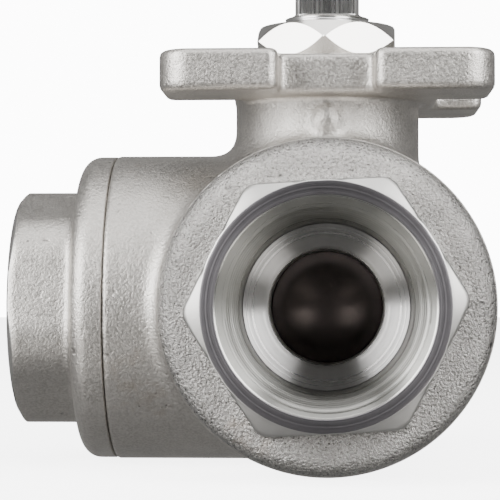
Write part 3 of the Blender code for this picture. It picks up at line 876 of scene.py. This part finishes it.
def glow(name, colour, strength):
    """A plain lit surface for the backdrop."""
    material = bpy.data.materials.new(name)
    material.use_nodes = True
    tree = material.node_tree
    tree.nodes.clear()
    out = tree.nodes.new("ShaderNodeOutputMaterial")
    light = tree.nodes.new("ShaderNodeEmission")
    light.inputs["Color"].default_value = (*colour, 1.0)
    light.inputs["Strength"].default_value = strength
    tree.links.new(light.outputs[0], out.inputs[0])
    return material


def stage_piece(name, mesh, material, seen_by):
    """A piece of the studio, not part of the valve, seen only by the kinds of ray named."""
    mesh.materials.append(material)
    item = bpy.data.objects.new(name, mesh)
    bpy.context.scene.collection.objects.link(item)
    item.visible_camera = "camera" in seen_by
    item.visible_diffuse = "diffuse" in seen_by
    item.visible_glossy = "glossy" in seen_by
    item.visible_shadow = "shadow" in seen_by


def flat_sheet(name, corners):
    """A flat sheet between corner points."""
    mesh = bpy.data.meshes.new(name)
    mesh.from_pydata(corners, [], [tuple(range(len(corners)))])
    return mesh


def dome(name, radius):
    """A white surround far outside the lamps."""
    mesh = bpy.data.meshes.new(name)
    work = bmesh.new()
    bmesh.ops.create_uvsphere(work, u_segments=48, v_segments=24, radius=radius)
    work.to_mesh(mesh)
    work.free()
    return mesh


def softbox(name, direction, size, power):
    """A large soft lamp facing the valve; direction is (azimuth, height) in degrees from the front."""
    lamp = bpy.data.lights.new(name, "AREA")
    lamp.shape = "RECTANGLE"
    lamp.size, lamp.size_y = size
    lamp.energy = power
    item = bpy.data.objects.new(name, lamp)
    side, lift = math.radians(direction[0]), math.radians(direction[1])
    towards = Vector((math.sin(side) * math.cos(lift), -math.cos(side) * math.cos(lift), math.sin(lift)))
    item.location = CENTRE + towards * LAMP_DISTANCE
    item.rotation_euler = towards.to_track_quat("Z", "Y").to_euler()
    bpy.context.scene.collection.objects.link(item)


FLOOR_HALF = 4.0            # metres
DOME_R = 3.9
FLOOR_GLOW = 5.0
BACKDROP_GLOW = 12.0
LOW_CARD_GLOW = 3.6
WORLD_STRENGTH = 0.26
LAMP_DISTANCE = 0.9
CARD_HALF = 0.2             # dark card behind the camera, seen only in the metal
CARD_BACK = -0.42
LOW_CARD_NEAR = (0.16, -0.33)
LOW_CARD_FAR = (0.36, -0.24)
LOW_CARD_SPAN = (-0.08, -0.24)


def low_card(name, sign, material):
    """A pale card low to one side of the camera, seen only in the metal."""
    top, foot = LOW_CARD_SPAN
    near, near_back = LOW_CARD_NEAR
    far, far_back = LOW_CARD_FAR
    corners = [(sign * near, near_back, top), (sign * far, far_back, top),
               (sign * far, far_back, foot), (sign * near, near_back, foot)]
    stage_piece(name, flat_sheet(name, corners), material, ("glossy",))


PALE, pale_shader = new_material("pale_floor", (0.9, 0.9, 0.9), 0.0, 0.8)
pale_shader.inputs["Emission Color"].default_value = (1.0, 1.0, 1.0, 1.0)
pale_shader.inputs["Emission Strength"].default_value = FLOOR_GLOW
DARK = new_material("dark_card", (0.02, 0.02, 0.02), 0.0, 0.9)[0]
WHITE = glow("backdrop_white", (1.0, 1.0, 1.0), BACKDROP_GLOW)
LOW_GLOW = glow("low_glow", (1.0, 0.98, 0.95), LOW_CARD_GLOW)
LOW_GLOW.cycles.emission_sampling = "NONE"

floor_corners = [(-FLOOR_HALF, -FLOOR_HALF, 0), (FLOOR_HALF, -FLOOR_HALF, 0),
                 (FLOOR_HALF, FLOOR_HALF, 0), (-FLOOR_HALF, FLOOR_HALF, 0)]
stage_piece("floor", flat_sheet("floor", floor_corners), PALE, ("camera", "diffuse", "shadow"))
stage_piece("backdrop", dome("backdrop", DOME_R), WHITE, ("camera",))
card_corners = [(-CARD_HALF, CARD_BACK, -CARD_HALF), (CARD_HALF, CARD_BACK, -CARD_HALF),
                (CARD_HALF, CARD_BACK, 2 * CARD_HALF), (-CARD_HALF, CARD_BACK, 2 * CARD_HALF)]
stage_piece("camera_card", flat_sheet("camera_card", card_corners), DARK, ("glossy",))
low_card("low_card_left", -1, LOW_GLOW)
low_card("low_card_right", 1, LOW_GLOW)

world = bpy.data.worlds.new("studio")
bpy.context.scene.world = world
world.use_nodes = True
world.node_tree.nodes["Background"].inputs["Color"].default_value = (1.0, 1.0, 1.0, 1.0)
world.node_tree.nodes["Background"].inputs["Strength"].default_value = WORLD_STRENGTH

softbox("key_left", direction=(-52, 20), size=(0.65, 0.7), power=15.0)
softbox("key_right", direction=(48, 24), size=(0.55, 0.7), power=12.0)
softbox("top", direction=(0, 75), size=(0.9, 0.7), power=6.0)

# Camera: level with the ports, a little right of the stem axis, turned up and left to frame the valve
CAMERA_BACK = 0.280
CAMERA_RIGHT = 0.0015
YAW_LEFT = math.radians(2.57)
PITCH_UP = math.radians(1.66)
view_lens = bpy.data.cameras.new("camera")
view_lens.lens = 141.3
view_lens.sensor_width = 36.0
view_lens.clip_start = 0.01
camera = bpy.data.objects.new("camera", view_lens)
camera.location = (CENTRE.x + CAMERA_RIGHT, CENTRE.y - CAMERA_BACK, CENTRE.z)
camera.rotation_euler = (math.radians(90) + PITCH_UP, 0.0, YAW_LEFT)
bpy.context.scene.collection.objects.link(camera)
bpy.context.scene.camera = camera
